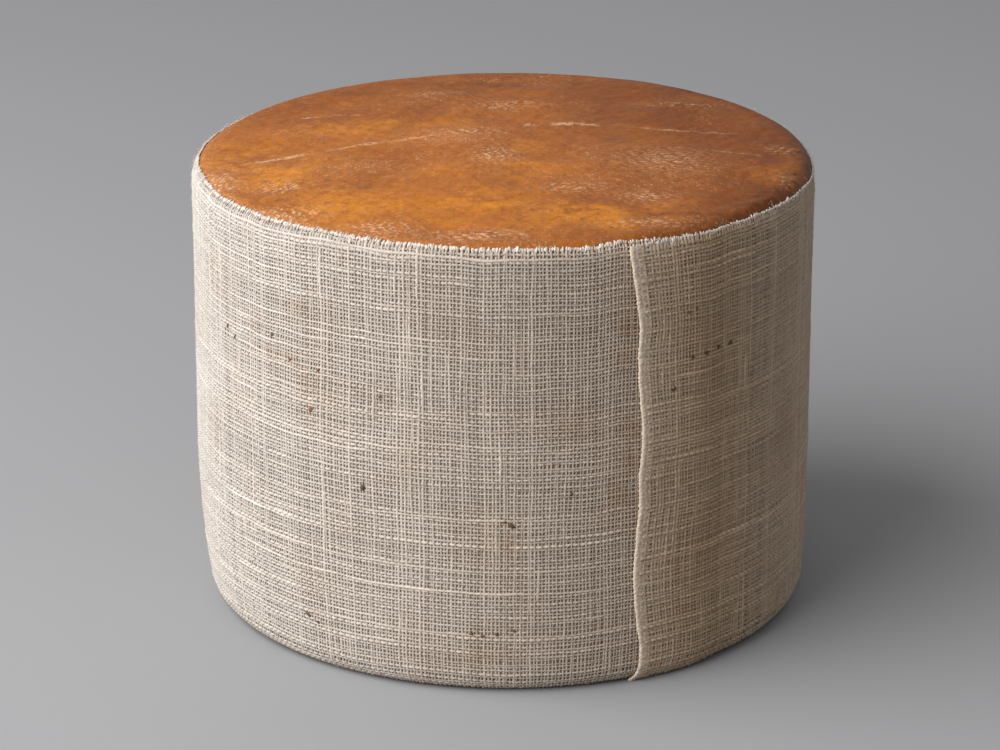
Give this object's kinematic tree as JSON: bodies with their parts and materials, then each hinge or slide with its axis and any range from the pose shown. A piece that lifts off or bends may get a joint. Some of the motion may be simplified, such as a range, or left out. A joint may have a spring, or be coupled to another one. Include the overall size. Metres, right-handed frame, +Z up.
{
  "type": "cloth-bound blue cheese wheel",
  "caption": "Whole drum of cloth-bound blue cheese with a waxy orange-brown rind on its slightly domed top and a lapped strip of open-weave linen round its side.",
  "frame": {"origin": "on the resting plane, under the middle of the wheel", "axes": "+Z up along the wheel's axis; the cut edge of the cloth shows on the -Y side, a little towards +X"},
  "size_m": [0.168, 0.168, 0.125],
  "materials": {
    "rind": "waxy satin, mottled orange-brown with a whitish bloom",
    "cloth": "matt undyed linen, open plain weave"
  },
  "bodies": {
    "root": {"cheese": "rind", "cloth_band": "cloth"}
  },
  "joints": []
}
